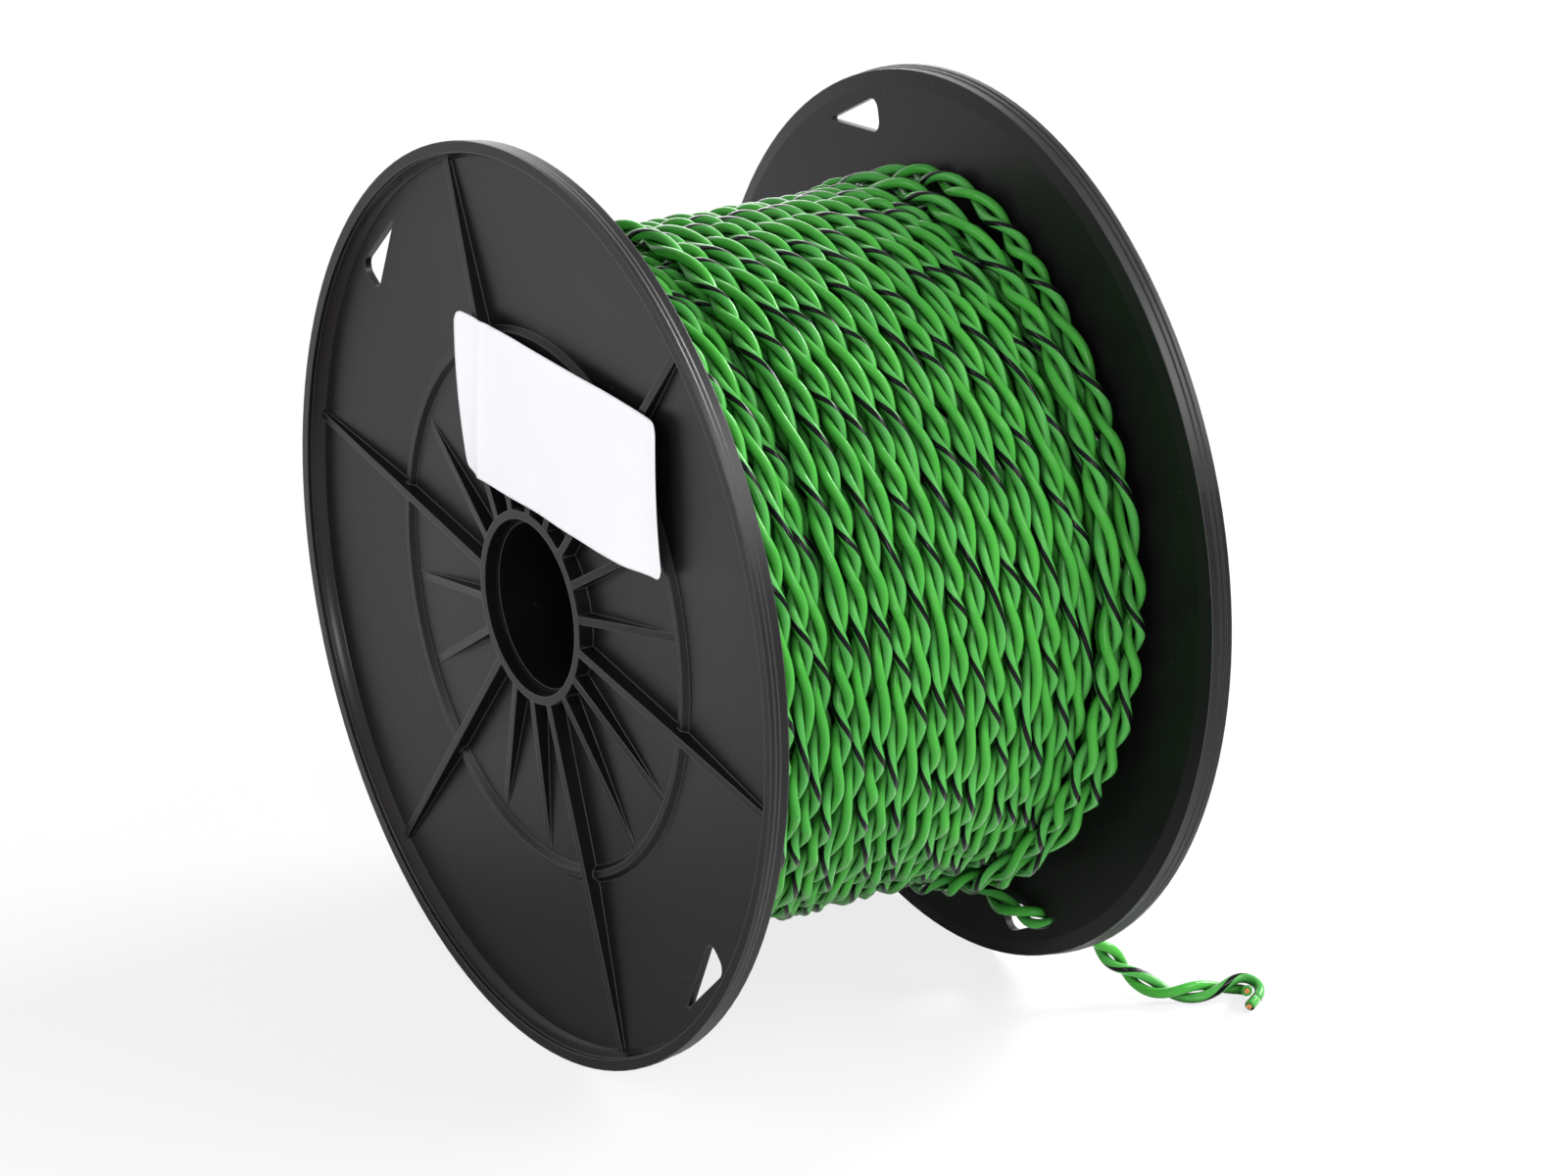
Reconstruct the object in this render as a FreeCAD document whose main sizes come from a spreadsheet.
import FreeCAD, Part
import Sketcher
import math
import os

from FreeCAD import Placement, Rotation, Vector

# Wire spool: two ribbed plastic flanges on a core tube, wound with a twisted
# pair of insulated wires whose end leaves through a hole in the rear flange.
# Origin at the middle of the bore, +Y along the bore from the labelled front
# flange to the rear one, +Z up. Lengths in mm, angles in degrees. Angles round
# the bore run from +X towards +Z.

SIZES = [
    ("flange_diameter", 200.0),
    ("overall_width", 112.5),
    ("rim_land", 2.4),
    ("rim_wall_slope", 0.6),
    ("rim_foot_bevel", 0.8),
    ("rim_band_depth", 1.2),
    ("rim_step", 0.25),
    ("rim_middle_depth", 2.4),
    ("rim_lip_step", 0.25),
    ("rim_slant", 0.3),
    ("rim_back_depth", 4.6),
    ("rim_back_taper", 3.5),
    ("plate_depth_at_rim", 3.8),
    ("plate_depth_at_hub", 5.4),
    ("plate_thickness", 1.7),
    ("dish_radius", 58.3),
    ("bead_width", 3.6),
    ("bead_height", 1.2),
    ("bead_slant", 1.1),
    ("hub_face_depth", 1.9),
    ("hub_wall", 1.9),
    ("rib_thickness", 1.8),
    ("rib_depth_at_rim", 2.9),
    ("short_rib_reach", 56.8),
    ("long_rib_count", 6),
    ("ribs_per_long_rib", 3),
    ("hole_apex_offset", 16.7),
    ("hole_rim_distance", 8.9),
    ("hole_reach", 21.2),
    ("hole_opening_angle", 22.6),
    ("hole_lean", 3.7),
    ("hole_apex_fillet", 0.25),
    ("hole_corner_fillet", 2.5),
    ("front_mirror_angle", 51.0),
    ("rear_turn_angle", 20.2),
    ("bore_diameter", 36.0),
    ("neck_wall", 1.1),
    ("neck_end_depth", 4.7),
    ("core_tube_wall", 3.0),
    ("seat_clearance", 0.1),
    ("pair_diameter", 4.0),
    ("least_turn_gap", 0.45),
    ("raised_turns", 2),
    ("winding_radius", 77.0),
    ("layer_step", 4.3),
    ("winding_clearance", 0.3),
    ("climb_shoulder_radius", 60.0),
    ("lead_angle", 269.5),
    ("lead_run", 12.0),
    ("label_width", 83.0),
    ("label_height", 35.5),
    ("label_thickness", 0.2),
    ("label_corner", 2.5),
    ("label_centre_x", 12.2),
    ("label_centre_z", 40.3),
    ("label_turn", 1.0),
    ("label_lift", 0.05),
    ("core_diameter", 2.35),
    ("core_stub_length", 3.0),
    ("conductor_diameter", 1.1),
    ("conductor_length", 0.6),
]

# The wire's free stretch after the drum: along the rear flange's inner face,
# through the narrow end of its lower hole, over the rim and down to the floor
# that the flanges stand on, and round in the small hook at its cut end.
TAIL_ROUTE = [
    (32.5, 46.3, -80.6),
    (42.0, 47.9, -80.9),
    (43.6, 57.2, -81.3),
    (49.0, 62.6, -89.5),
    (54.0, 67.0, -94.9),
    (59.3, 71.3, -97.5),
    (62.6, 77.0, -97.5),
    (63.8, 84.4, -97.5),
    (67.6, 87.6, -97.5),
    (72.6, 87.3, -97.5),
    (75.9, 83.6, -97.5),
]
# Share of a route's shorter run that an arc takes up at each corner.
CORNER_SHARE = 0.45
# Sides of the tubes that stand for the wire
WOUND_SIDES = 4
FREE_SIDES = 8
CORE_SIDES = 8

doc = FreeCAD.newDocument("wire_spool")
sheet = doc.addObject("Spreadsheet::Sheet", "dims")
for row, (alias, value) in enumerate(SIZES, start=1):
    sheet.set(f"A{row}", alias)
    sheet.set(f"B{row}", str(value))
    sheet.setAlias(f"B{row}", alias)
doc.recompute()


def size(alias):
    return float(sheet.get(alias))


# Expressions that several features share
HALF_WIDTH = "dims.overall_width / 2"
FLANGE_RADIUS = "dims.flange_diameter / 2"
BORE_RADIUS = "dims.bore_diameter / 2"
NECK_RADIUS = "(dims.bore_diameter / 2 + dims.neck_wall)"
TUBE_RADIUS = "(dims.bore_diameter / 2 + dims.core_tube_wall)"
HUB_INNER = "(dims.bore_diameter / 2 + dims.neck_wall + dims.seat_clearance)"
HUB_OUTER = f"({HUB_INNER} + dims.hub_wall)"
HUB_PLATE_BACK = "(dims.plate_depth_at_hub + dims.plate_thickness)"
RIM_PLATE_BACK = "(dims.plate_depth_at_rim + dims.plate_thickness)"
BAND = "(dims.flange_diameter / 2 - dims.rim_step)"
LIP = "(dims.flange_diameter / 2 - dims.rim_step - dims.rim_lip_step)"
TAPER_FOOT = f"({LIP} - dims.rim_back_taper)"
WALL_FOOT = "(dims.flange_diameter / 2 - dims.rim_land - dims.rim_wall_slope)"
WALL_LEAN = "(dims.rim_wall_slope / dims.plate_depth_at_rim)"


def value_of(expression):
    """The number that an expression over the sheet stands for."""
    probe = doc.getObject("probe") or doc.addObject("App::FeaturePython", "probe")
    if "number" not in probe.PropertiesList:
        probe.addProperty("App::PropertyFloat", "number")
    probe.setExpression("number", expression)
    doc.recompute()
    return probe.number


def origin_item(body, role):
    return next(item for item in body.Origin.OriginFeatures if item.Role == role)


def new_body(name):
    body = doc.addObject("PartDesign::Body", name)
    body.Label = name
    return body


def new_sketch(body, name, plane):
    sketch = body.newObject("Sketcher::SketchObject", name)
    sketch.AttachmentSupport = (origin_item(body, plane), [""])
    sketch.MapMode = "FlatFace"
    return sketch


def bind_point(sketch, edge, end, name, across, up):
    """Hold one end of a sketch edge at two expressions from the origin."""
    for kind, tag, expression in (("DistanceX", "x", across), ("DistanceY", "y", up)):
        number = value_of(expression)
        ends = (-1, 1, edge, end) if number >= 0 else (edge, end, -1, 1)
        index = sketch.addConstraint(Sketcher.Constraint(kind, *ends, abs(number)))
        sketch.renameConstraint(index, f"{name}_{tag}")
        sign = "" if number >= 0 else "-"
        sketch.setExpression(f"Constraints.{name}_{tag}", f"{sign}({expression})")


def closed_outline(body, name, plane, corners):
    """A sketch of straight edges through corners given as two expressions each."""
    sketch = new_sketch(body, name, plane)
    spots = [Vector(value_of(a), value_of(b), 0) for a, b in corners]
    for start, stop in zip(spots, spots[1:] + spots[:1]):
        sketch.addGeometry(Part.LineSegment(start, stop), False)
    count = len(spots)
    for edge in range(count):
        sketch.addConstraint(Sketcher.Constraint("Coincident", edge, 2, (edge + 1) % count, 1))
    for edge, (across, up) in enumerate(corners):
        bind_point(sketch, edge, 1, f"corner{edge}", across, up)
    return sketch


def revolve(body, name, sketch):
    """Turn an outline in the XY plane, where Y is the bore, a full round."""
    turned = body.newObject("PartDesign::Revolution", name)
    turned.Profile = sketch
    turned.ReferenceAxis = (sketch, ["V_Axis"])
    turned.Angle = 360
    sketch.Visibility = False
    return turned


def polar(body, name, feature, count):
    """Repeat a feature evenly round the bore."""
    pattern = body.newObject("PartDesign::PolarPattern", name)
    pattern.Originals = [feature]
    pattern.Axis = (origin_item(body, "Y_Axis"), [""])
    pattern.Angle = 360
    pattern.setExpression("Occurrences", count)
    body.Tip = pattern
    return pattern


def fillet(body, name, base, wanted, radius):
    """Round the edges of a feature that the test wanted picks out."""
    doc.recompute()
    names = [f"Edge{i}" for i, edge in enumerate(base.Shape.Edges, start=1) if wanted(edge)]
    if not names:
        raise RuntimeError(f"{name}: no edge to round")
    rounding = body.newObject("PartDesign::Fillet", name)
    rounding.Base = (base, names)
    rounding.setExpression("Radius", radius)
    body.Tip = rounding
    return rounding


def from_rim(depth):
    """The y of a place that lies at a depth inside the rear flange's rim plane."""
    return f"{HALF_WIDTH} - {depth}"


# Flange

def flange_disc(body):
    """The turned form: hub ring, dished plate, stiffening bead and stepped rim."""
    bead_foot = "(dims.bead_width / 2)"
    bead_top = f"({bead_foot} - dims.bead_slant)"
    bead_depth = "(dims.plate_depth_at_hub - dims.bead_height)"
    corners = [
        (HUB_INNER, from_rim("dims.hub_face_depth")),
        (HUB_OUTER, from_rim("dims.hub_face_depth")),
        (HUB_OUTER, from_rim("dims.plate_depth_at_hub")),
        (f"dims.dish_radius - {bead_foot}", from_rim("dims.plate_depth_at_hub")),
        (f"dims.dish_radius - {bead_top}", from_rim(bead_depth)),
        (f"dims.dish_radius + {bead_top}", from_rim(bead_depth)),
        (f"dims.dish_radius + {bead_foot}", from_rim("dims.plate_depth_at_hub")),
        (f"{WALL_FOOT} - dims.rim_foot_bevel", from_rim("dims.plate_depth_at_rim")),
        (
            f"{WALL_FOOT} + dims.rim_foot_bevel * {WALL_LEAN}",
            from_rim("dims.plate_depth_at_rim") + " + dims.rim_foot_bevel",
        ),
        (f"{FLANGE_RADIUS} - dims.rim_land", HALF_WIDTH),
        (FLANGE_RADIUS, HALF_WIDTH),
        (FLANGE_RADIUS, from_rim("dims.rim_band_depth")),
        (BAND, from_rim("(dims.rim_band_depth + dims.rim_slant)")),
        (BAND, from_rim("dims.rim_middle_depth")),
        (LIP, from_rim("(dims.rim_middle_depth + dims.rim_slant)")),
        (LIP, from_rim("dims.rim_back_depth")),
        (TAPER_FOOT, from_rim(RIM_PLATE_BACK)),
        ("dims.dish_radius", from_rim(HUB_PLATE_BACK)),
        (HUB_INNER, from_rim(HUB_PLATE_BACK)),
    ]
    outline = closed_outline(body, f"{body.Name}_section", "XY_Plane", corners)
    return revolve(body, f"{body.Name}_disc", outline)


def rib(body, name, corners, count):
    """A radial web under a sloping top, repeated round the hub."""
    outline = closed_outline(body, f"{name}_side", "XY_Plane", corners)
    web = body.newObject("PartDesign::Pad", name)
    web.Profile = outline
    web.SideType = "Symmetric"
    web.setExpression("Length", "dims.rib_thickness")
    outline.Visibility = False
    doc.recompute()
    return polar(body, f"{name}s", web, count)


def flange_ribs(body):
    """Long ribs from the hub to the rim, and short ones that taper away."""
    root = f"({HUB_INNER} + dims.hub_wall / 2)"
    top = from_rim("dims.hub_face_depth")
    sunk = from_rim("(dims.plate_depth_at_hub + dims.plate_thickness / 2)")
    rib(
        body,
        f"{body.Name}_short_rib",
        [
            (root, top),
            ("dims.short_rib_reach", from_rim("dims.plate_depth_at_hub")),
            ("dims.short_rib_reach", sunk),
            (root, sunk),
        ],
        "dims.long_rib_count * dims.ribs_per_long_rib",
    )
    end = f"({FLANGE_RADIUS} - dims.rim_land)"
    rib(
        body,
        f"{body.Name}_long_rib",
        [
            (root, top),
            (end, from_rim("dims.rib_depth_at_rim")),
            (end, from_rim("(dims.plate_depth_at_rim + dims.plate_thickness / 4)")),
            ("dims.dish_radius", sunk),
            (root, sunk),
        ],
        "dims.long_rib_count",
    )


def wire_holes(body):
    """Two pointed holes, opposite each other, where a wire end is pulled tight.

    Each widens along the rim from its tip and leans towards the hub.
    """
    outer_angle = "((dims.hole_opening_angle / 2 - dims.hole_lean) * 1 deg)"
    inner_angle = "((dims.hole_opening_angle / 2 + dims.hole_lean) * 1 deg)"
    line = f"({FLANGE_RADIUS} - dims.hole_rim_distance)"
    tip_x = "0 - dims.hole_apex_offset"
    upper_x = f"dims.hole_reach * cos({outer_angle}) - dims.hole_apex_offset"
    lower_x = f"dims.hole_reach * cos({inner_angle}) - dims.hole_apex_offset"
    rise = f"dims.hole_reach * sin({outer_angle})"
    drop = f"dims.hole_reach * sin({inner_angle})"
    sketch = new_sketch(body, f"{body.Name}_hole_outline", "XZ_Plane")
    tip = Vector(value_of(tip_x), value_of(line), 0)
    upper = Vector(value_of(upper_x), value_of(f"{line} + {rise}"), 0)
    lower = Vector(value_of(lower_x), value_of(f"{line} - {drop}"), 0)
    outer_swing = math.radians(size("hole_opening_angle") / 2 - size("hole_lean"))
    inner_swing = math.radians(size("hole_opening_angle") / 2 + size("hole_lean"))
    arc_circle = Part.Circle(tip, Vector(0, 0, 1), size("hole_reach"))
    sketch.addGeometry(Part.LineSegment(tip, lower), False)
    sketch.addGeometry(Part.ArcOfCircle(arc_circle, -inner_swing, outer_swing), False)
    sketch.addGeometry(Part.LineSegment(upper, tip), False)
    for first, first_end, second, second_end in (
        (0, 2, 1, 1),
        (1, 2, 2, 1),
        (2, 2, 0, 1),
        (1, 3, 0, 1),
    ):
        sketch.addConstraint(
            Sketcher.Constraint("Coincident", first, first_end, second, second_end)
        )
    bind_point(sketch, 0, 1, "tip", tip_x, line)
    bind_point(sketch, 2, 1, "upper", upper_x, f"{line} + {rise}")
    index = sketch.addConstraint(
        Sketcher.Constraint("DistanceY", 0, 2, 2, 1, upper.y - lower.y)
    )
    sketch.renameConstraint(index, "opening")
    sketch.setExpression("Constraints.opening", f"{rise} + {drop}")
    before = body.Tip
    hole = body.newObject("PartDesign::Pocket", f"{body.Name}_hole")
    hole.Profile = sketch
    hole.Type = "ThroughAll"
    hole.SideType = "Symmetric"
    sketch.Visibility = False
    doc.recompute()
    pair = polar(body, f"{body.Name}_holes", hole, "2")
    doc.recompute()
    if not pair.Shape.Volume < before.Shape.Volume - 1:
        raise RuntimeError("the wire holes cut nothing")

    def runs_through(edge, spots):
        """Whether an edge runs along the bore through one of some (x, z) spots."""
        near = 0.01
        first = edge.Vertexes[0].Point
        last = edge.Vertexes[-1].Point
        if Vector(first.x - last.x, 0, first.z - last.z).Length > near:
            return False
        return any(
            math.hypot(abs(first.x) - abs(x), abs(first.z) - abs(z)) < near
            and (first.x * x > 0) == (first.z * z > 0)
            for x, z in spots
        )

    rounded = fillet(
        body,
        f"{body.Name}_hole_tips",
        pair,
        lambda edge: runs_through(edge, [(tip.x, tip.y)]),
        "dims.hole_apex_fillet",
    )
    return fillet(
        body,
        f"{body.Name}_hole_corners",
        rounded,
        lambda edge: runs_through(edge, [(upper.x, upper.y), (lower.x, lower.y)]),
        "dims.hole_corner_fillet",
    )


def flange(name):
    """One moulding, drawn as the rear flange with a long rib along +X."""
    body = new_body(name)
    flange_disc(body)
    doc.recompute()
    flange_ribs(body)
    wire_holes(body)
    return body


AXIS_Y = Vector(0, 1, 0)

rear_flange = flange("rear_flange")
rear_flange.Placement = Placement(Vector(), Rotation(AXIS_Y, -size("rear_turn_angle")))

front_flange = flange("front_flange")
mirror = math.radians(size("front_mirror_angle") / 2)
flip = Rotation(Vector(math.cos(mirror), 0, math.sin(mirror)), 180)
front_flange.Placement = Placement(Vector(), flip)


# Core tube

core_tube = new_body("core_tube")
neck_y = from_rim("dims.neck_end_depth")
shoulder_y = from_rim(f"({HUB_PLATE_BACK} + dims.seat_clearance)")
core_tube_section = closed_outline(
    core_tube,
    "core_tube_section",
    "XY_Plane",
    [
        (BORE_RADIUS, f"0 - ({neck_y})"),
        (NECK_RADIUS, f"0 - ({neck_y})"),
        (NECK_RADIUS, f"0 - ({shoulder_y})"),
        (TUBE_RADIUS, f"0 - ({shoulder_y})"),
        (TUBE_RADIUS, shoulder_y),
        (NECK_RADIUS, shoulder_y),
        (NECK_RADIUS, neck_y),
        (BORE_RADIUS, neck_y),
    ],
)
revolve(core_tube, "core_tube_turned", core_tube_section)


# Winding

def inner_face_y(radius):
    """The rear flange's inner face at a radius, from the spool's middle."""
    edge = value_of(TAPER_FOOT)
    dish = size("dish_radius")
    share = min(max((radius - dish) / (edge - dish), 0), 1)
    at_hub = size("plate_depth_at_hub")
    depth = at_hub + share * (size("plate_depth_at_rim") - at_hub) + size("plate_thickness")
    return size("overall_width") / 2 - depth


clear = size("winding_clearance")
pair_radius = size("pair_diameter") / 2
main_radius = size("winding_radius") - pair_radius
raised_radius = main_radius + size("layer_step")
# As many turns as fit between the flanges, spread evenly
last_y = inner_face_y(size("climb_shoulder_radius")) - clear - pair_radius
first_y = -last_y
turns = int((last_y - first_y) / (size("pair_diameter") + size("least_turn_gap")))
pitch = (last_y - first_y) / turns
# The radius rises to the raised turns within half a turn.
rise_turns = 0.5
rise_start = turns - int(size("raised_turns")) - rise_turns


def winding_core():
    """The wound wire below the outer turns, as one plain turned body."""
    body = new_body("winding_core")
    hollow = value_of(TUBE_RADIUS) + clear
    low = main_radius - pair_radius - clear
    high = raised_radius - pair_radius - clear
    shoulder = size("climb_shoulder_radius")
    flat_y = inner_face_y(size("dish_radius")) - clear
    groove_y = first_y + pair_radius + clear
    step_y = first_y + pitch * (rise_start + rise_turns) + pair_radius + clear
    corners = [
        (hollow, -flat_y),
        (shoulder, -flat_y),
        (shoulder, groove_y),
        (low, groove_y),
        (low, step_y),
        (high, step_y),
        (high, flat_y),
        (hollow, flat_y),
    ]
    outline = new_sketch(body, "winding_core_section", "XY_Plane")
    spots = [Vector(x, y, 0) for x, y in corners]
    for start, stop in zip(spots, spots[1:] + spots[:1]):
        outline.addGeometry(Part.LineSegment(start, stop), False)
    for edge in range(len(spots)):
        following = (edge + 1) % len(spots)
        outline.addConstraint(Sketcher.Constraint("Coincident", edge, 2, following, 1))
        outline.addConstraint(Sketcher.Constraint("Block", edge))
    revolve(body, "winding_core_turned", outline)
    return body


winding_core()


def ease(share):
    """0 to 1 with level ends."""
    share = min(max(share, 0), 1)
    return share * share * (3 - 2 * share)


def radius_after(turn):
    """The radius of the outer layer's centreline after so many turns."""
    return main_radius + (raised_radius - main_radius) * ease((turn - rise_start) / rise_turns)


def on_drum(turn):
    """A point of the outer layer's centreline; it ends at the lead's angle."""
    angle = math.radians(size("lead_angle")) + 2 * math.pi * turn
    radius = radius_after(turn)
    return Vector(radius * math.cos(angle), first_y + pitch * turn, radius * math.sin(angle))


def heading(turn):
    """The direction in which the wire runs after so many turns."""
    small = 0.001
    step = on_drum(turn + small) - on_drum(turn - small)
    return step.normalize()


def arc_from(start, direction, stop):
    """The circular arc that leaves start along direction and reaches stop."""
    chord = stop - start
    along = chord.dot(direction) / chord.Length
    aside = direction * chord.Length - chord * along
    bulge = chord.Length / 2 * math.tan(math.acos(min(along, 1)) / 2)
    middle = (start + stop) * 0.5 + aside.normalize() * bulge
    return Part.Arc(start, middle, stop).toShape()


def biarc(start, leave, stop, arrive):
    """Two arcs that meet smoothly, from one point and heading to another."""
    gap = stop - start
    both = leave + arrive
    spread = 2 * (1 - leave.dot(arrive))
    lean = gap.dot(both)
    reach = (math.sqrt(lean * lean + spread * gap.dot(gap)) - lean) / spread
    middle = (start + stop + (leave - arrive) * reach) * 0.5
    return [arc_from(start, leave, middle), arc_from(stop, arrive * -1, middle)]


def faceted_tube(edges, radius, sides):
    """A tube with flat sides along joined edges, its corners at the radius."""
    start = edges[0].Vertexes[0].Point
    turn = Rotation(Vector(0, 0, 1), edges[0].tangentAt(edges[0].FirstParameter))
    corners = []
    for side in range(sides + 1):
        angle = 2 * math.pi * side / sides
        corner = Vector(radius * math.cos(angle), radius * math.sin(angle), 0)
        corners.append(start + turn.multVec(corner))
    shell = Part.BRepOffsetAPI.MakePipeShell(Part.Wire(edges))
    shell.add(Part.makePolygon(corners))
    shell.build()
    shell.makeSolid()
    return Part.Solid(shell.shape())


def print_tube(name, edges, radius, sides, solid):
    """Print a tube's length, and its volume beside its section times its length."""
    long = sum(edge.Length for edge in edges)
    section = sides / 2 * radius**2 * math.sin(2 * math.pi / sides)
    print(f"{name}: {long:.1f} mm long, volume {solid.Volume:.0f} mm3,")
    print(f"  section times length {section * long:.0f} mm3")


def least_gap(spots, diameter, steps_apart):
    """The least gap of a tube to its own other turns, from points along it."""
    least = None
    for i, spot in enumerate(spots):
        for other in spots[i + steps_apart :]:
            gap = spot.distanceToPoint(other) - diameter
            if least is None or gap < least:
                least = gap
    return least


def keep(name, shape):
    """Hold a solid in the document under its name."""
    item = doc.addObject("Part::Feature", name)
    item.Label = name
    item.Shape = shape


# The outer layer is one tube: it climbs beside the front flange, winds towards
# the rear one, rises on to the raised turns and runs off the drum at its bottom.
bend_turn = 0.03
climb_angle = math.radians(size("lead_angle")) - 2 * math.pi * bend_turn
outward = Vector(math.cos(climb_angle), 0, math.sin(climb_angle))
climb_foot = outward * (size("climb_shoulder_radius") + clear) + Vector(0, first_y, 0)
climb_top = climb_foot + outward * size("pair_diameter")
turns_path = [Part.LineSegment(climb_foot, climb_top).toShape()]
turns_path += biarc(climb_top, outward, on_drum(0), heading(0))
half_turns = [half / 2 for half in range(2 * turns + 1)]
stops = sorted(half_turns + [rise_start + rise_turns / 2])
for start, stop in zip(stops, stops[1:]):
    turns_path += biarc(on_drum(start), heading(start), on_drum(stop), heading(stop))
run_off = on_drum(turns) + heading(turns) * size("pair_diameter") * 1.5
turns_path.append(Part.LineSegment(on_drum(turns), run_off).toShape())
winding_turns = faceted_tube(turns_path, pair_radius, WOUND_SIDES)
keep("winding_turns", winding_turns)

samples_per_turn = 72
spots = [on_drum(sample / samples_per_turn) for sample in range(turns * samples_per_turn + 1)]
gap = least_gap(spots, 2 * pair_radius, samples_per_turn // 4)
print(f"winding_turns: {turns} turns, least gap to itself {gap:.2f} mm")
print_tube("winding_turns", turns_path, pair_radius, WOUND_SIDES, winding_turns)


# Free end of the wire

def rounded_route(spots):
    """Straight runs through the spots, joined by arcs tangent to both runs."""
    edges = []
    radii = []
    at = spots[0]
    for before, corner, after in zip(spots, spots[1:], spots[2:]):
        incoming = (corner - before).normalize()
        outgoing = (after - corner).normalize()
        cut = CORNER_SHARE * min((corner - before).Length, (after - corner).Length)
        half_turn = incoming.getAngle(outgoing) / 2
        radius = cut / math.tan(half_turn)
        radii.append(radius)
        start = corner - incoming * cut
        stop = corner + outgoing * cut
        inwards = (outgoing - incoming).normalize()
        middle = corner + inwards * (radius / math.cos(half_turn) - radius)
        edges.append(Part.LineSegment(at, start).toShape())
        edges.append(Part.Arc(start, middle, stop).toShape())
        at = stop
    edges.append(Part.LineSegment(at, spots[-1]).toShape())
    return edges, radii


# The first run goes straight on from the last turn. In the hole the wire is
# squeezed to the opening's width.
straight_on = run_off + heading(turns) * size("lead_run")
tail_spots = [run_off, straight_on] + [Vector(*point) for point in TAIL_ROUTE]
tail_path, tail_radii = rounded_route(tail_spots)
tail_tube = faceted_tube(tail_path, pair_radius, FREE_SIDES)
print_tube("wire_tail", tail_path, pair_radius, FREE_SIDES, tail_tube)
print("wire_tail: first points", run_off, straight_on)
print("wire_tail: bend radii", " ".join(f"{radius:.1f}" for radius in tail_radii))
doc.recompute()
wire_tail = tail_tube.cut(rear_flange.Shape)
keep("wire_tail", wire_tail.Solids[0])


# Cut end of the two cores

end_point = tail_spots[-1]
end_heading = (end_point - tail_spots[-2]).normalize()
end_turn = Rotation(Vector(0, 0, 1), end_heading)
end_side = end_heading.cross(Vector(0, 0, 1)).normalize()
apart = size("core_diameter") / 2 + 0.02


def rod_piece(name, diameter, length, base):
    rod = doc.addObject("Part::Prism", name)
    rod.Label = name
    rod.Polygon = CORE_SIDES
    rod.setExpression("Circumradius", f"{diameter} / 2")
    rod.setExpression("Height", length)
    rod.Placement = Placement(base, end_turn)
    return rod


for side, core in ((1, "plain"), (-1, "striped")):
    base = end_point + end_side * side * apart
    rod_piece(f"{core}_core_end", "dims.core_diameter", "dims.core_stub_length", base)
    tip = base + end_heading * size("core_stub_length")
    rod_piece(f"{core}_conductor", "dims.conductor_diameter", "dims.conductor_length", tip)


# Label

label = new_body("label")
label_outline = closed_outline(
    label,
    "label_outline",
    "XZ_Plane",
    [
        ("0 - dims.label_width / 2", "0 - dims.label_height / 2"),
        ("dims.label_width / 2", "0 - dims.label_height / 2"),
        ("dims.label_width / 2", "dims.label_height / 2"),
        ("0 - dims.label_width / 2", "dims.label_height / 2"),
    ],
)
paper = label.newObject("PartDesign::Pad", "label_paper")
paper.Profile = label_outline
paper.setExpression("Length", "dims.label_thickness")
doc.recompute()
fillet(
    label,
    "label_corners",
    paper,
    lambda edge: abs(edge.Vertexes[0].Point.y - edge.Vertexes[-1].Point.y) > 0.01,
    "dims.label_corner",
)


def label_placement():
    """Lay the sheet on the two long ribs it crosses, which slope outwards."""
    step = 360 / size("long_rib_count")
    first_rib = size("front_mirror_angle")
    between = math.radians(first_rib + step / 2)
    root = value_of(f"({HUB_INNER} + dims.hub_wall / 2)")
    end = value_of(f"({FLANGE_RADIUS} - dims.rim_land)")
    drop = (size("rib_depth_at_rim") - size("hub_face_depth")) / (end - root)
    drop_between = drop / math.cos(math.radians(step / 2))
    middle = Vector(math.cos(between), 0, math.sin(between))
    centre = Vector(size("label_centre_x"), 0, size("label_centre_z"))
    depth = size("hub_face_depth") + drop_between * centre.dot(middle) - drop * root
    centre.y = depth - size("label_lift") - size("overall_width") / 2
    normal = Vector(0, -1, 0) + middle * drop_between
    tilt = Rotation(Vector(0, -1, 0), normal)
    turn = Rotation(AXIS_Y, size("label_turn"))
    return Placement(centre, tilt.multiply(turn))


label.Placement = label_placement()


# Check and write

NODES = [
    "front_flange",
    "rear_flange",
    "core_tube",
    "winding_core",
    "winding_turns",
    "wire_tail",
    "plain_core_end",
    "striped_core_end",
    "plain_conductor",
    "striped_conductor",
    "label",
]

if doc.getObject("probe"):
    doc.removeObject("probe")
doc.recompute()
for item in doc.Objects:
    if "Invalid" in item.State or "Error" in item.State:
        raise RuntimeError(f"{item.Label} failed: {item.State}")
os.makedirs("parts", exist_ok=True)
for name in NODES:
    item = next(found for found in doc.Objects if found.Label == name)
    shape = item.Shape
    if shape.isNull() or not shape.isValid():
        raise RuntimeError(f"{name} has no valid shape")
    shape.exportStep(f"parts/{name}.step")
    print(f"{name}: {len(shape.Solids)} solid, {shape.Volume:.0f} mm3, {len(shape.Faces)} faces")
